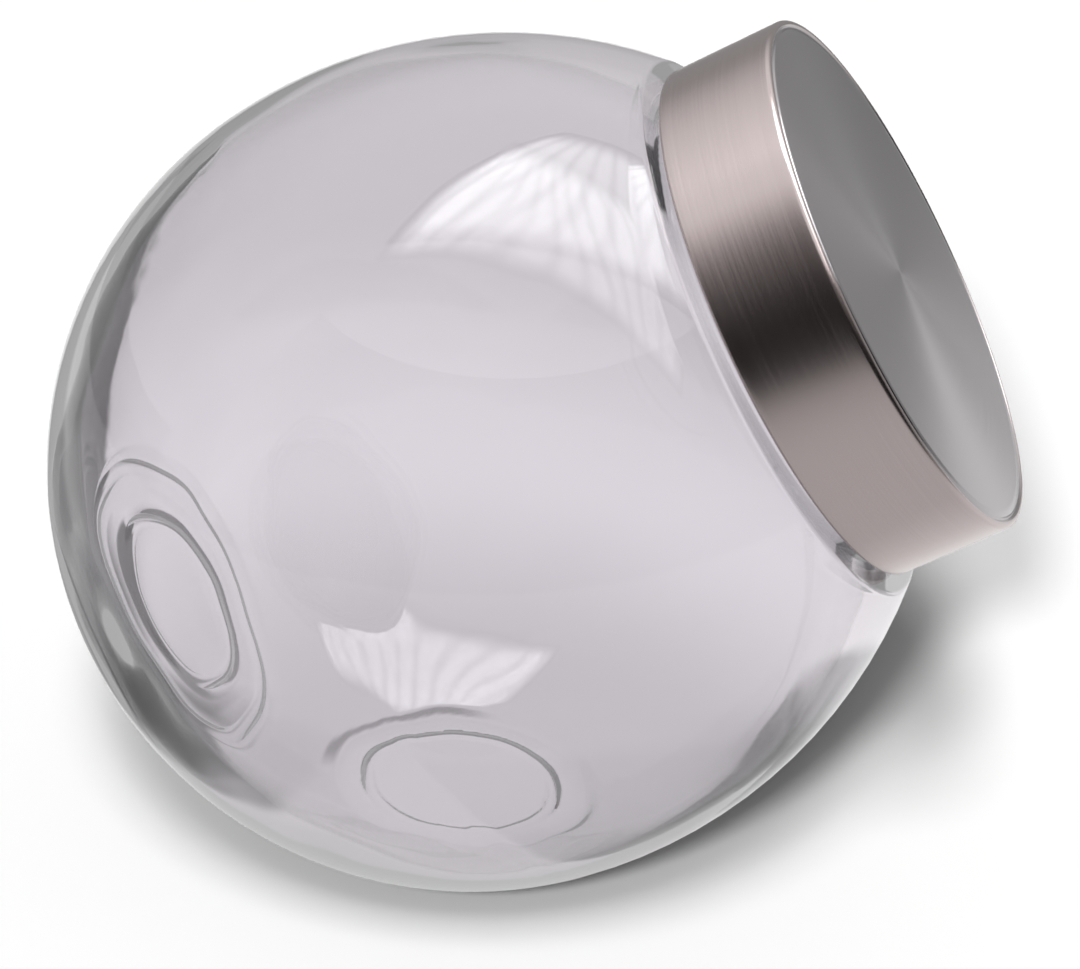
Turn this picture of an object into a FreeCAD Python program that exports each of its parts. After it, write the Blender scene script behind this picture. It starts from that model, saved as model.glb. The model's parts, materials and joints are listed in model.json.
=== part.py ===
import FreeCAD, Part
import math
import os

from FreeCAD import Placement, Rotation, Vector

# A small ball-shaped glass jar for herbs with a brushed-steel screw lid.
# The glass is a ball with its mouth tipped up to one side. It rests on a flat
# under the ball, and a second flat opposite the mouth lets it stand upright.
# Millimetres. Everything but the foot is drawn round the mouth axis, with its
# zero at the ball's centre, and is then tipped to its real angle.

# The ball
ball_radius = 42.0
mouth_tilt = 32.5            # degrees that the mouth axis climbs from level
belly_wall = 1.8             # glass at the belly, square to the mouth axis
rear_wall = 2.9              # glass at the rear, before the flat is pressed in
shoulder_start = 97.0        # degrees from the mouth axis where ball turns to shoulder
shoulder_wall = 3.5          # glass under the collar's edge

# The two flats and the shallow dish pressed into each
foot_press = 2.5             # how far the foot is pressed in from the ball
rear_press = 3.4             # the same for the flat opposite the mouth
foot_wall = 2.7
rear_flat_wall = 3.4
flat_edge_round = 8.0        # blend between flat and ball, outside
hollow_edge_round = 6.0      # the same blend on the inside of the glass
dish_radius = 10.4
dish_depth = 0.5
dish_slope = 1.7             # how much smaller the dish is at its bottom

# Collar and neck of the glass
neck_radius = 23.6
ledge_width = 5.1            # neck to the collar's edge
collar_proud = 2.82          # how far the collar's edge stands out from the ball
collar_round = 0.9
neck_length = 10.5           # ledge to the rim that the seal sits on
neck_wall = 3.1
neck_root_round = 0.8
throat_round = 2.5           # edge between the hollow and the throat
rim_round = 0.9

# Screw thread, one start, right-handed
thread_pitch = 4.0
thread_turns = 1.1
thread_height = 1.0
glass_thread_foot = 2.4
glass_thread_crest = 1.2
glass_thread_start = 3.5     # ledge to the middle of the thread's first end
insert_thread_foot = 1.6
insert_thread_crest = 0.8
thread_play = 0.25           # radial room all round between the two threads
flank_play = 0.3             # room between the flanks that pull the lid down
thread_bite = 0.3            # how far a thread's foot runs into its wall
insert_thread_lag = 0.25     # turns by which the lid's thread starts after the glass one

# Lid: steel shell, moulded insert and seal
seal_thickness = 0.9
insert_roof = 1.0
insert_wall = 1.45
shell_sheet = 0.4
shell_fit = 0.05             # room between shell and insert all round
seal_fit = 0.3               # room between seal and insert all round
seal_play = 0.05             # room over the seal, so that it slips as the lid turns
lid_gap = 0.9                # ledge to the lid's lower edge
hem_reach = 1.0              # how far the shell's lower edge turns in
lid_edge_round = 0.8
hem_edge_round = 0.35

# Depths of the flats, from the ball's centre
foot_depth = ball_radius - foot_press
rear_depth = ball_radius - rear_press

# Heights up the mouth axis, from the ball's centre
collar_hub_radius = neck_radius + ledge_width - collar_round
collar_hub_reach = ball_radius + collar_proud - collar_round
collar_hub_height = math.sqrt(collar_hub_reach ** 2 - collar_hub_radius ** 2)
collar_height = collar_hub_height + collar_round
rim_height = collar_height + neck_length
roof_height = rim_height + seal_thickness + seal_play
shell_roof_height = roof_height + insert_roof
lid_top = shell_roof_height + shell_sheet
lid_bottom = collar_height + lid_gap
insert_bottom = lid_bottom + shell_sheet

# Radii that follow from the neck and the thread
bore_radius = neck_radius - neck_wall
glass_crest_radius = neck_radius + thread_height
insert_bore = glass_crest_radius + thread_play
insert_radius = insert_bore + insert_wall
insert_crest_radius = neck_radius + thread_play
shell_bore = insert_radius + shell_fit
lid_radius = shell_bore + shell_sheet
seal_radius = insert_bore - seal_fit

# Where the frame's origin is: on the ground, under the middle of the whole jar
tilt = math.radians(mouth_tilt)
lid_reach = (
    (lid_top - lid_edge_round) * math.cos(tilt)
    + (lid_radius - lid_edge_round) * math.sin(tilt)
    + lid_edge_round
)
centre = Vector(-(lid_reach - ball_radius) / 2, 0, foot_depth)
tip_over = Placement(centre, Rotation(Vector(0, 1, 0), 90 - mouth_tilt))
full_turn = 360.0
same_level = 0.01            # points closer in height than this lie in one plane


def at(height, radius):
    """A point of a profile: height up the mouth axis and radius from it."""
    return Vector(radius, 0, height)


def polar(height, radius, degrees):
    """The point at that radius and angle from the axis, round a centre on it."""
    turn = math.radians(degrees)
    return at(height + radius * math.cos(turn), radius * math.sin(turn))


def arc_between(hub, radius, start, end):
    """The short arc from start to end round hub."""
    middle = (start - hub).normalize() + (end - hub).normalize()
    return Part.Arc(start, hub + middle.normalize() * radius, end).toShape()


def line(start, end):
    return Part.LineSegment(start, end).toShape()


def revolve(edges):
    """A solid from a closed half profile, turned round the mouth axis."""
    wire = Part.Wire(Part.sortEdges(edges)[0])
    return Part.Face(wire).revolve(Vector(), Vector(0, 0, 1), full_turn)


def turned(points):
    """A solid from a closed half profile of straight lines."""
    return revolve([line(a, b) for a, b in zip(points, points[1:] + points[:1])])


def tangent_arc(start, normal, target, gap):
    """Hub and radius of the arc that leaves start square to normal and ends
    gap short of the target point, or beyond it if gap is negative."""
    apart = target - start
    radius = (apart.dot(apart) - gap * gap) / (2 * (gap - apart.dot(normal)))
    return start - normal * radius, radius


collar_hub = at(collar_hub_height, collar_hub_radius)


def shoulder(ball_hub_height, radius, gap):
    """The ball's last point, and the hub and radius of the shoulder after it."""
    start = polar(ball_hub_height, radius, shoulder_start)
    normal = (start - at(ball_hub_height, 0)).normalize()
    hub, arc_radius = tangent_arc(start, normal, collar_hub, gap)
    return start, hub, arc_radius


def flat_blend(radius, depth, blend):
    """Where a ball of that radius, blended into a flat at that depth behind
    its own hub, leaves the ball, where it meets the flat, and the blend's hub."""
    swing = math.acos((depth - blend) / (radius - blend))
    hub = at(blend - depth, (radius - blend) * math.sin(swing))
    on_ball = at(-radius * math.cos(swing), radius * math.sin(swing))
    on_flat = at(-depth, hub.x)
    return on_ball, on_flat, hub


def shifted(points, height):
    """The same points, that much further up the mouth axis."""
    return [p + at(height, 0) for p in points]


def outer_form():
    """The glass as if it were solid: ball, shoulder, collar and neck."""
    on_ball, on_flat, blend_hub = flat_blend(ball_radius, rear_depth, flat_edge_round)
    start, hub, radius = shoulder(0, ball_radius, -collar_round)
    corner_in = hub + (collar_hub - hub).normalize() * radius
    corner_out = at(collar_height, collar_hub.x)
    root_out = at(collar_height, neck_radius + neck_root_round)
    root_in = at(collar_height + neck_root_round, neck_radius)
    root_hub = at(collar_height + neck_root_round, neck_radius + neck_root_round)
    rim_low = at(rim_height - rim_round, neck_radius)
    rim_flat = at(rim_height, neck_radius - rim_round)
    rim_hub = at(rim_height - rim_round, neck_radius - rim_round)
    return revolve([
        line(at(-rear_depth, 0), on_flat),
        arc_between(blend_hub, flat_edge_round, on_flat, on_ball),
        arc_between(at(0, 0), ball_radius, on_ball, start),
        arc_between(hub, radius, start, corner_in),
        arc_between(collar_hub, collar_round, corner_in, corner_out),
        line(corner_out, root_out),
        arc_between(root_hub, neck_root_round, root_out, root_in),
        line(root_in, rim_low),
        arc_between(rim_hub, rim_round, rim_low, rim_flat),
        line(rim_flat, at(rim_height, 0)),
        line(at(rim_height, 0), at(-rear_depth, 0)),
    ])


def hollow_ball():
    """The hollow's own ball, set forward so that the rear wall is thicker."""
    setting = rear_wall - belly_wall
    return setting, ball_radius - belly_wall


def hollow_form():
    """The hollow of the jar, with the throat out through the rim."""
    ahead, radius = hollow_ball()
    depth = rear_depth - rear_flat_wall + ahead
    on_ball, on_flat, blend_hub = shifted(flat_blend(radius, depth, hollow_edge_round), ahead)
    rear = at(on_flat.z, 0)
    start, hub, arc_radius = shoulder(ahead, radius, shoulder_wall - collar_round)
    lip_radius = bore_radius + throat_round
    reach = arc_radius + throat_round
    lip_hub = at(hub.z + math.sqrt(reach ** 2 - (lip_radius - hub.x) ** 2), lip_radius)
    lip_in = hub + (lip_hub - hub).normalize() * arc_radius
    lip_out = at(lip_hub.z, bore_radius)
    rim_low = at(rim_height - rim_round, bore_radius)
    rim_out = at(rim_height, bore_radius + rim_round)
    rim_hub = at(rim_height - rim_round, bore_radius + rim_round)
    above = rim_height + rim_round
    return revolve([
        line(rear, on_flat),
        arc_between(blend_hub, hollow_edge_round, on_flat, on_ball),
        arc_between(at(ahead, 0), radius, on_ball, start),
        arc_between(hub, arc_radius, start, lip_in),
        arc_between(lip_hub, throat_round, lip_in, lip_out),
        line(lip_out, rim_low),
        arc_between(rim_hub, rim_round, rim_low, rim_out),
        line(rim_out, at(above, bore_radius + rim_round)),
        line(at(above, bore_radius + rim_round), at(above, 0)),
        line(at(above, 0), rear),
    ])


def below(depth):
    """Everything lower than a level plane, that far under the ball's centre."""
    side = 4 * ball_radius
    return Part.makeBox(side, side, side, centre - Vector(side / 2, side / 2, side + depth))


def press_flat(form, depth, blend):
    """Cut a form by the plane of the foot, and round the edge that it leaves."""
    cut = form.cut(below(depth))
    level = centre.z - depth
    boxes = [(edge, edge.BoundBox) for edge in cut.Edges]
    rim = [e for e, box in boxes if max(abs(box.ZMin - level), abs(box.ZMax - level)) < same_level]
    return cut.makeFillet(blend, rim)


def dish(depth):
    """The shallow dish of a flat, with its mouth at that depth below the hub."""
    return turned([
        at(-depth - dish_depth, 0),
        at(-depth - dish_depth, dish_radius + dish_slope),
        at(-depth, dish_radius),
        at(-depth + dish_depth, dish_radius - dish_slope),
        at(-depth + dish_depth, 0),
    ])


def thread(wall, crest, start, turns, foot_width, crest_width, bite):
    """A ridge along a helix, from inside its wall out or in to its crest."""
    path = Part.makeHelix(thread_pitch, thread_pitch * turns, wall)
    foot = wall + math.copysign(bite, wall - crest)
    slope = (foot_width - crest_width) / (2 * abs(crest - wall))
    half = foot_width / 2 + slope * bite
    corners = [at(-half, foot), at(half, foot), at(crest_width / 2, crest), at(-crest_width / 2, crest)]
    section = Part.Wire([line(a, b) for a, b in zip(corners, corners[1:] + corners[:1])])
    ridge = Part.Wire(path.Edges).makePipeShell([section], True, True)
    return ridge.translated(Vector(0, 0, start))


def glass_thread():
    start = collar_height + glass_thread_start
    return thread(neck_radius, glass_crest_radius, start, thread_turns,
                  glass_thread_foot, glass_thread_crest, thread_bite)


def insert_thread():
    """The lid's thread runs under the glass one, near the flank that it pulls on."""
    slope = (glass_thread_foot - glass_thread_crest) / (2 * thread_height)
    glass_half = glass_thread_foot / 2 - slope * thread_play
    drop = glass_half + insert_thread_crest / 2 + flank_play
    start = collar_height + glass_thread_start - drop + thread_pitch * insert_thread_lag
    ridge = thread(insert_bore, insert_crest_radius, start, thread_turns,
                   insert_thread_foot, insert_thread_crest, thread_bite)
    return ridge.rotated(Vector(), Vector(0, 0, 1), full_turn * insert_thread_lag)


def jar_body():
    outer = outer_form().transformShape(tip_over.Matrix, True)
    outer = press_flat(outer, foot_depth, flat_edge_round)
    hollow = hollow_form().transformShape(tip_over.Matrix, True)
    hollow = press_flat(hollow, foot_depth - foot_wall, hollow_edge_round)
    foot_dish = dish(foot_depth).translated(centre)
    rear_dish = dish(rear_depth).transformShape(tip_over.Matrix, True)
    ridge = glass_thread().transformShape(tip_over.Matrix, True)
    return outer.fuse(ridge).cut(hollow).cut(foot_dish).cut(rear_dish)


def lid_shell():
    """A stamped cup of sheet steel, its lower edge turned in under the insert."""
    top_hub = at(lid_top - lid_edge_round, lid_radius - lid_edge_round)
    inner_round = lid_edge_round - shell_sheet
    low_hub = at(lid_bottom + hem_edge_round, lid_radius - hem_edge_round)
    hem_radius = shell_bore - hem_reach
    return revolve([
        line(at(lid_top, 0), at(lid_top, top_hub.x)),
        arc_between(top_hub, lid_edge_round, at(lid_top, top_hub.x), at(top_hub.z, lid_radius)),
        line(at(top_hub.z, lid_radius), at(low_hub.z, lid_radius)),
        arc_between(low_hub, hem_edge_round, at(low_hub.z, lid_radius), at(lid_bottom, low_hub.x)),
        line(at(lid_bottom, low_hub.x), at(lid_bottom, hem_radius)),
        line(at(lid_bottom, hem_radius), at(insert_bottom, hem_radius)),
        line(at(insert_bottom, hem_radius), at(insert_bottom, shell_bore)),
        line(at(insert_bottom, shell_bore), at(top_hub.z, shell_bore)),
        arc_between(top_hub, inner_round, at(top_hub.z, shell_bore), at(shell_roof_height, top_hub.x)),
        line(at(shell_roof_height, top_hub.x), at(shell_roof_height, 0)),
        line(at(shell_roof_height, 0), at(lid_top, 0)),
    ])


def lid_insert():
    """The moulded cup inside the shell, with the lid's half of the thread."""
    edge = lid_edge_round
    cup = turned([
        at(shell_roof_height, 0),
        at(shell_roof_height, insert_radius - edge),
        at(shell_roof_height - edge, insert_radius),
        at(insert_bottom, insert_radius),
        at(insert_bottom, insert_bore),
        at(roof_height, insert_bore),
        at(roof_height, 0),
    ])
    return cup.fuse(insert_thread())


def seal_disc():
    return Part.makeCylinder(seal_radius, seal_thickness, Vector(0, 0, rim_height))


def save(shape, name):
    """Write one piece, and say how large it is."""
    box = shape.BoundBox
    print("%-10s solids %d valid %s volume %.0f  x %.2f %.2f  y %.2f %.2f  z %.2f %.2f" % (
        name, len(shape.Solids), shape.isValid(), shape.Volume,
        box.XMin, box.XMax, box.YMin, box.YMax, box.ZMin, box.ZMax))
    shape.exportStep("parts/%s.step" % name)


os.makedirs("parts", exist_ok=True)
save(jar_body(), "jar_body")
for build in (lid_shell, lid_insert, seal_disc):
    save(build().transformShape(tip_over.Matrix, True), build.__name__)
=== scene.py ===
# %% [markdown]
# # A tilted glass herb jar with a brushed-steel screw lid
# The jar is a blown ball of clear glass with its mouth tipped up to one side. It rests on a
# flat pressed into the ball, and a second flat lies opposite the mouth. The lid is a stamped
# steel cup over a moulded insert, and a soft disc seals it to the rim.
# Every cell below makes one piece, one finish or one part of the studio.

# %% Load the fixed frame
import json
import math

import bpy
import numpy as np
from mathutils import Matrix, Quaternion, Vector


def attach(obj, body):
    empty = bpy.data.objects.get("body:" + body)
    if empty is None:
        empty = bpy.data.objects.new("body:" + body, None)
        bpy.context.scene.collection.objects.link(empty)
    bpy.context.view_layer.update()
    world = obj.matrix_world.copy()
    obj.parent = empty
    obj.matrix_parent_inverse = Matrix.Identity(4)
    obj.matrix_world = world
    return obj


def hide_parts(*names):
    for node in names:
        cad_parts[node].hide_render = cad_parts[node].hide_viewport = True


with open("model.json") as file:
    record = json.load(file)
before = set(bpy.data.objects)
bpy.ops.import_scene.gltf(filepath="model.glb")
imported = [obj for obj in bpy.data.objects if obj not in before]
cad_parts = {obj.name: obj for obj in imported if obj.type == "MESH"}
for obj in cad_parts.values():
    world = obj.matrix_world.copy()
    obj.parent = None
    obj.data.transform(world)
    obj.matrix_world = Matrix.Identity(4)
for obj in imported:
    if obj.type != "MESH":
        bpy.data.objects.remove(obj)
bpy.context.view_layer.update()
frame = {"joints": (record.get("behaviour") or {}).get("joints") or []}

MM = 0.001

# %% [markdown]
# ## The mouth axis
# Everything but the foot is round about one line, the mouth axis. The lid's own joint turns
# about that line, so the frame already says where it runs and where the ball's centre is.
# Shapes are worked out in millimetres from that centre and become metres in the mesh.

# %% Axis, centre and the two directions across the axis
lid_turn = next(joint for joint in frame["joints"] if joint["name"] == "lid_turn")
ball_centre = np.array(lid_turn["pos_m"]) / MM
mouth = np.array(lid_turn["axis"])
across = np.array([0.0, 1.0, 0.0])
down_turn = np.cross(across, mouth)
print("ball centre", ball_centre.round(3), "mouth axis", mouth.round(4))

# %% [markdown]
# ## Profiles
# A turned piece is half an outline carried round the axis. A point of an outline has a height
# up the mouth axis and a radius from it. Rounded corners are arcs, so that highlights and
# refraction run smoothly over them. Bevels could round them too, but glass and brushed steel
# show every uneven face, and arcs keep the faces even.

# %% Arcs and lines of an outline


def run(start, end, count):
    """Evenly spaced points of a straight line from start to end."""
    part = np.linspace(0, 1, count)[:, None]
    return np.asarray(start) * (1 - part) + np.asarray(end) * part


def bend(hub, start, end, count):
    """The short arc from start to end: hub plus radius times cosine and sine of an even turn."""
    hub, start, end = map(np.asarray, (hub, start, end))
    first = math.atan2(*(start - hub)[::-1])
    swing = math.remainder(math.atan2(*(end - hub)[::-1]) - first, 2 * math.pi)
    turn = first + swing * np.linspace(0, 1, count)
    radius = math.dist(hub, start)
    return hub + radius * np.stack([np.cos(turn), np.sin(turn)], axis=1)


def outline(*parts):
    """Joins stretches of an outline, and drops the doubled point where two of them meet."""
    points = np.concatenate(parts)
    step = np.linalg.norm(np.diff(points, axis=0), axis=1)
    return points[np.concatenate([[True], step > 1e-6])]


# %% [markdown]
# ## From outline to mesh
# Each outline point at each turn gives one vertex of a grid. A function may then push the
# grid's points about, for a thread, a pressed flat or the slight waves of blown glass.
# Where the outline starts and ends on the axis, the grid closes in a single point.

# %% Outline points at every turn


def even_turns(columns):
    """Angles in equal steps once round the axis."""
    return np.arange(columns) * 2 * np.pi / columns


def spokes(turns):
    """The direction away from the axis at each turn: cosine * down_turn + sine * across."""
    return np.cos(turns)[:, None] * down_turn + np.sin(turns)[:, None] * across


def placed(points, turns):
    """A grid in millimetres: ball's centre + height * mouth + radius * the turn's spoke."""
    height, radius = points[:, 0][:, None, None], points[:, 1][:, None, None]
    return ball_centre + height * mouth + radius * spokes(turns)


# %% A closed mesh from a grid


def by_face(*corners):
    """One number for each corner of each face, in the order in which a mesh keeps them."""
    return np.stack(corners, -1).reshape(-1)


def turned_piece(name, points, turns, grid=None):
    """A closed mesh from an outline that starts and ends on the axis. Quads join the rows of
    the grid, and a fan of triangles closes each end. In its UV map, u is the turn, and v is
    the length along the outline in millimetres."""
    grid = placed(points, turns) if grid is None else grid
    rows, columns = grid.shape[:2]
    vertices = np.concatenate([grid[:1, 0], grid[1:-1].reshape(-1, 3), grid[-1:, 0]]) * MM
    row, column = np.meshgrid(np.arange(rows - 3), np.arange(columns), indexing="ij")
    ring = np.arange(columns)

    def corner(at_row, at_column):
        return 1 + at_row * columns + at_column % columns

    quads = np.stack([corner(row, column), corner(row, column + 1),
                      corner(row + 1, column + 1), corner(row + 1, column)], -1)
    first_fan = np.stack([0 * ring, corner(0, ring + 1), corner(0, ring)], -1)
    last_fan = np.stack([0 * ring + len(vertices) - 1,
                         corner(rows - 3, ring), corner(rows - 3, ring + 1)], -1)
    faces = quads.reshape(-1, 4).tolist() + first_fan.tolist() + last_fan.tolist()
    mesh = bpy.data.meshes.new(name)
    mesh.from_pydata(vertices, [], faces)

    u = np.append(turns, turns[0] + 2 * np.pi) / (2 * np.pi)
    middle = (u[:-1] + u[1:]) / 2
    v = np.concatenate([[0], np.cumsum(np.linalg.norm(np.diff(points, axis=0), axis=1))])
    all_u = np.concatenate([by_face(u[column], u[column + 1], u[column + 1], u[column]),
                            by_face(middle, u[1:], u[:-1]), by_face(middle, u[:-1], u[1:])])
    all_v = np.concatenate([by_face(v[row + 1], v[row + 1], v[row + 2], v[row + 2]),
                            np.tile(v[[0, 1, 1]], columns), np.tile(v[[-1, -2, -2]], columns)])
    uv = np.stack([all_u, all_v], -1).astype(np.float32)
    mesh.uv_layers.new(name="turned").data.foreach_set("uv", uv.reshape(-1))
    mesh.polygons.foreach_set("use_smooth", np.ones(len(faces), bool))
    mesh.validate()
    piece = bpy.data.objects.new(name, mesh)
    bpy.context.scene.collection.objects.link(piece)
    print(name, "rows", rows, "columns", columns, "triangles", sum(len(f) - 2 for f in faces))
    return piece


# %% [markdown]
# ## The glass: sizes
# The ball, its two flats and the collar, as the real jar has them, in millimetres. Each flat
# holds a shallow dish, and the mould leaves a round-bottomed ring groove at the dish's edge.
# A ring is given by its near and its far radius and by how deep its groove is. A fainter
# groove runs round the rear flat's edge.

# %% Sizes of the ball and its flats
ball_radius, belly_wall, rear_wall = 42.0, 1.8, 2.9
shoulder_start, shoulder_wall = 97.0, 3.5
foot_depth, rear_depth = 39.5, 38.6
foot_wall, rear_flat_wall = 2.7, 3.4
flat_round, hollow_round = 2.0, 1.5
foot_ring, rear_ring = (9.7, 11.45, 0.36), (8.6, 10.3, 0.25)
rear_edge_width, rear_edge_rise = 2.0, 0.22
dish_depth = 0.45

# %% Sizes of the collar, neck and thread
neck_radius, neck_wall, neck_length = 23.6, 3.1, 10.5
ledge_width, collar_proud, collar_round = 5.1, 2.82, 0.9
root_round, throat_round, rim_round = 0.8, 2.5, 0.9
thread_pitch, thread_turns, thread_height, thread_start = 4.0, 1.1, 1.0, 3.5
thread_foot, thread_crest, thread_fade = 2.4, 1.2, 0.06

collar_hub_radius = neck_radius + ledge_width - collar_round
collar_hub_reach = ball_radius + collar_proud - collar_round
collar_hub = np.array([math.sqrt(collar_hub_reach ** 2 - collar_hub_radius ** 2), collar_hub_radius])
collar_height = collar_hub[0] + collar_round
rim_height = collar_height + neck_length
bore_radius = neck_radius - neck_wall
print("collar", round(collar_height, 2), "rim", round(rim_height, 2))

# %% [markdown]
# ## The glass: outline
# The outline runs from the rear flat's middle over the ball, shoulder and collar, up the neck,
# over the rim, back down the throat and round the hollow. The shoulder is an arc that leaves
# the ball without a kink and just touches the collar's round edge. Both surfaces of the wall
# are drawn, because what shows in clear glass is how thick it is.

# %% Flats and shoulders


def flat_blend(radius, depth, blend):
    """Where a ball leaves for the blend, where the blend meets the flat, and the blend's hub."""
    swing = math.acos((depth - blend) / (radius - blend))
    hub = np.array([blend - depth, (radius - blend) * math.sin(swing)])
    on_ball = np.array([-radius * math.cos(swing), radius * math.sin(swing)])
    return on_ball, np.array([-depth, hub[1]]), hub


def shoulder(ahead, radius, gap):
    """The ball's last point, and the hub and radius of the arc that leaves it there and ends
    gap short of the collar's hub."""
    turn = math.radians(shoulder_start)
    normal = np.array([math.cos(turn), math.sin(turn)])
    start = np.array([ahead, 0.0]) + radius * normal
    apart = collar_hub - start
    reach = (apart @ apart - gap * gap) / (2 * (gap - apart @ normal))
    return start, start - normal * reach, reach


def on_ball_at(ahead, radius, degrees):
    """The ball's point at an angle from the mouth axis."""
    turn = math.radians(degrees)
    return np.array([ahead + radius * math.cos(turn), radius * math.sin(turn)])


# %% Dish, ring and edge groove of a flat


def ring_lift(distance, ring):
    """How deep the flat is sunk: the dish's depth inside the ring and nothing outside it.
    Across the ring, from near to far, it is the slope between the two, plus the groove's
    depth times the sine of a half turn."""
    near, far, rise = ring
    part = np.clip((distance - near) / (far - near), 0, 1)
    return dish_depth * (1 - part) + rise * np.sin(np.pi * part)


def dished(height, ring):
    """The rear flat's outline from the axis, over the dish and the ring, to the ring's far edge."""
    radius = outline(run([0], [ring[0]], 6), run([ring[0]], [ring[1]], 17))
    return np.concatenate([height + ring_lift(radius, ring), radius], axis=1)


def edge_groove(height, start, end):
    """The rear flat's outline from its ring to its edge, where a faint groove runs round: the
    flat is sunk by rear_edge_rise times the sine of a half turn over the last stretch."""
    radius = outline(run([start], [end - rear_edge_width], 4), run([end - rear_edge_width], [end], 15))
    part = np.clip((radius - end) / rear_edge_width + 1, 0, 1)
    return np.concatenate([height + rear_edge_rise * np.sin(np.pi * part), radius], axis=1)


# %% Outside of the glass
# Between these two angles from the mouth axis, the rows lie close together for the foot.
foot_from, foot_to = 144.5, 100.5

ball_off, flat_on, blend_hub = flat_blend(ball_radius, rear_depth, flat_round)
start, hub, reach = shoulder(0, ball_radius, -collar_round)
to_collar = collar_hub - hub
corner_in = hub + to_collar / np.linalg.norm(to_collar) * reach
corner_out = np.array([collar_height, collar_hub_radius])
outer_points = outline(
    dished(-rear_depth, rear_ring),
    edge_groove(-rear_depth, rear_ring[1], flat_on[1]),
    bend(blend_hub, flat_on, ball_off, 9),
    bend([0, 0], ball_off, on_ball_at(0, ball_radius, foot_from), 10),
    bend([0, 0], on_ball_at(0, ball_radius, foot_from), on_ball_at(0, ball_radius, foot_to), 120),
    bend([0, 0], on_ball_at(0, ball_radius, foot_to), start, 4),
    bend(hub, start, corner_in, 16),
    bend(collar_hub, corner_in, corner_out, 9),
    run(corner_out, [collar_height, neck_radius + root_round], 3),
    bend([collar_height + root_round, neck_radius + root_round],
         [collar_height, neck_radius + root_round], [collar_height + root_round, neck_radius], 5),
    run([collar_height + root_round, neck_radius], [rim_height - rim_round, neck_radius], 34),
    bend([rim_height - rim_round, neck_radius - rim_round],
         [rim_height - rim_round, neck_radius], [rim_height, neck_radius - rim_round], 7))
outer_rows = len(outer_points)
print("outside of the glass has", outer_rows, "points")

# %% Inside of the glass
# The hollow is a smaller ball whose centre lies a little ahead, so the wall is thicker behind.
hollow_ahead, hollow_radius = rear_wall - belly_wall, ball_radius - belly_wall
hollow_depth = rear_depth - rear_flat_wall + hollow_ahead
hollow_hub = [hollow_ahead, 0]
ball_off_in, flat_on_in, blend_hub_in = (point + hollow_hub for point in
                                         flat_blend(hollow_radius, hollow_depth, hollow_round))
start_in, hub_in, reach_in = shoulder(hollow_ahead, hollow_radius, shoulder_wall - collar_round)
foot_from_in = on_ball_at(hollow_ahead, hollow_radius, foot_from)
foot_to_in = on_ball_at(hollow_ahead, hollow_radius, foot_to)
lip_radius = bore_radius + throat_round
lip_ahead = math.sqrt((reach_in + throat_round) ** 2 - (lip_radius - hub_in[1]) ** 2)
lip_hub = np.array([hub_in[0] + lip_ahead, lip_radius])
to_lip = lip_hub - hub_in
lip_in = hub_in + to_lip / np.linalg.norm(to_lip) * reach_in
inner_points = outline(
    bend([rim_height - rim_round, bore_radius + rim_round],
         [rim_height, bore_radius + rim_round], [rim_height - rim_round, bore_radius], 7),
    run([rim_height - rim_round, bore_radius], [lip_hub[0], bore_radius], 7),
    bend(lip_hub, [lip_hub[0], bore_radius], lip_in, 11),
    bend(hub_in, lip_in, start_in, 15),
    bend(hollow_hub, start_in, foot_to_in, 4),
    bend(hollow_hub, foot_to_in, foot_from_in, 84),
    bend(hollow_hub, foot_from_in, ball_off_in, 10),
    bend(blend_hub_in, ball_off_in, flat_on_in, 9),
    run(flat_on_in, [hollow_ahead - hollow_depth, 0], 8))
glass_points = outline(outer_points, inner_points)
print("the whole outline has", len(glass_points), "points")

# %% [markdown]
# ## The glass: foot, thread and waves
# The foot is not round about the mouth axis but about a plumb line through the ball's centre,
# so it is pressed into the finished grid: each point low enough is lifted to the height that
# the flat, its soft edge and its dish have at that distance from the plumb line. Rows and
# columns are closer together there, and points beside the foot's circles are moved onto them,
# so that the ring stays round and crisp.
# Blown glass is never quite even inside. A few slow waves on the hollow's wall give the
# rippled reflections of a real jar.

# %% Columns, close together over the foot
foot_reach, foot_columns, far_columns = math.radians(27), 122, 110
near = np.linspace(-foot_reach, foot_reach, foot_columns, endpoint=False)
far = np.linspace(foot_reach, 2 * math.pi - foot_reach, far_columns, endpoint=False)
glass_turns = np.concatenate([near, far])
print("glass has", len(glass_turns), "columns")

# %% Pressing a flat into the grid
snap_reach = 0.14


def press(grid, centre, radius, depth, blend, ring=None):
    """Lifts the ball's lowest points: the drop under centre becomes depth on the flat, and
    depth - blend + sqrt(blend^2 - (distance - hub)^2) on the edge round it. Points less than
    snap_reach from one of the flat's circles are first moved onto it."""
    on_ball, on_flat, _ = flat_blend(radius, depth, blend)
    aside = (grid - centre)[..., :2]
    distance = np.linalg.norm(aside, axis=-1)
    low = (distance < on_ball[1]) & (grid[..., 2] < centre[2])
    circles = [on_flat[1]]
    if ring:
        circles += [ring[0], (ring[0] + ring[1]) / 2, ring[1]]
    for circle in circles:
        beside = low & (np.abs(distance - circle) < snap_reach)
        aside[beside] *= (circle / distance[beside])[:, None]
        distance[beside] = circle
    grid[..., :2] = np.where(low[..., None], centre[:2] + aside, grid[..., :2])
    past = np.clip(distance - on_flat[1], 0, blend)
    drop = depth - blend + np.sqrt(blend ** 2 - past ** 2)
    if ring:
        drop = drop - ring_lift(distance, ring)
    grid[..., 2] = np.where(low, centre[2] - drop, grid[..., 2])


# %% Raising a thread


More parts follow.
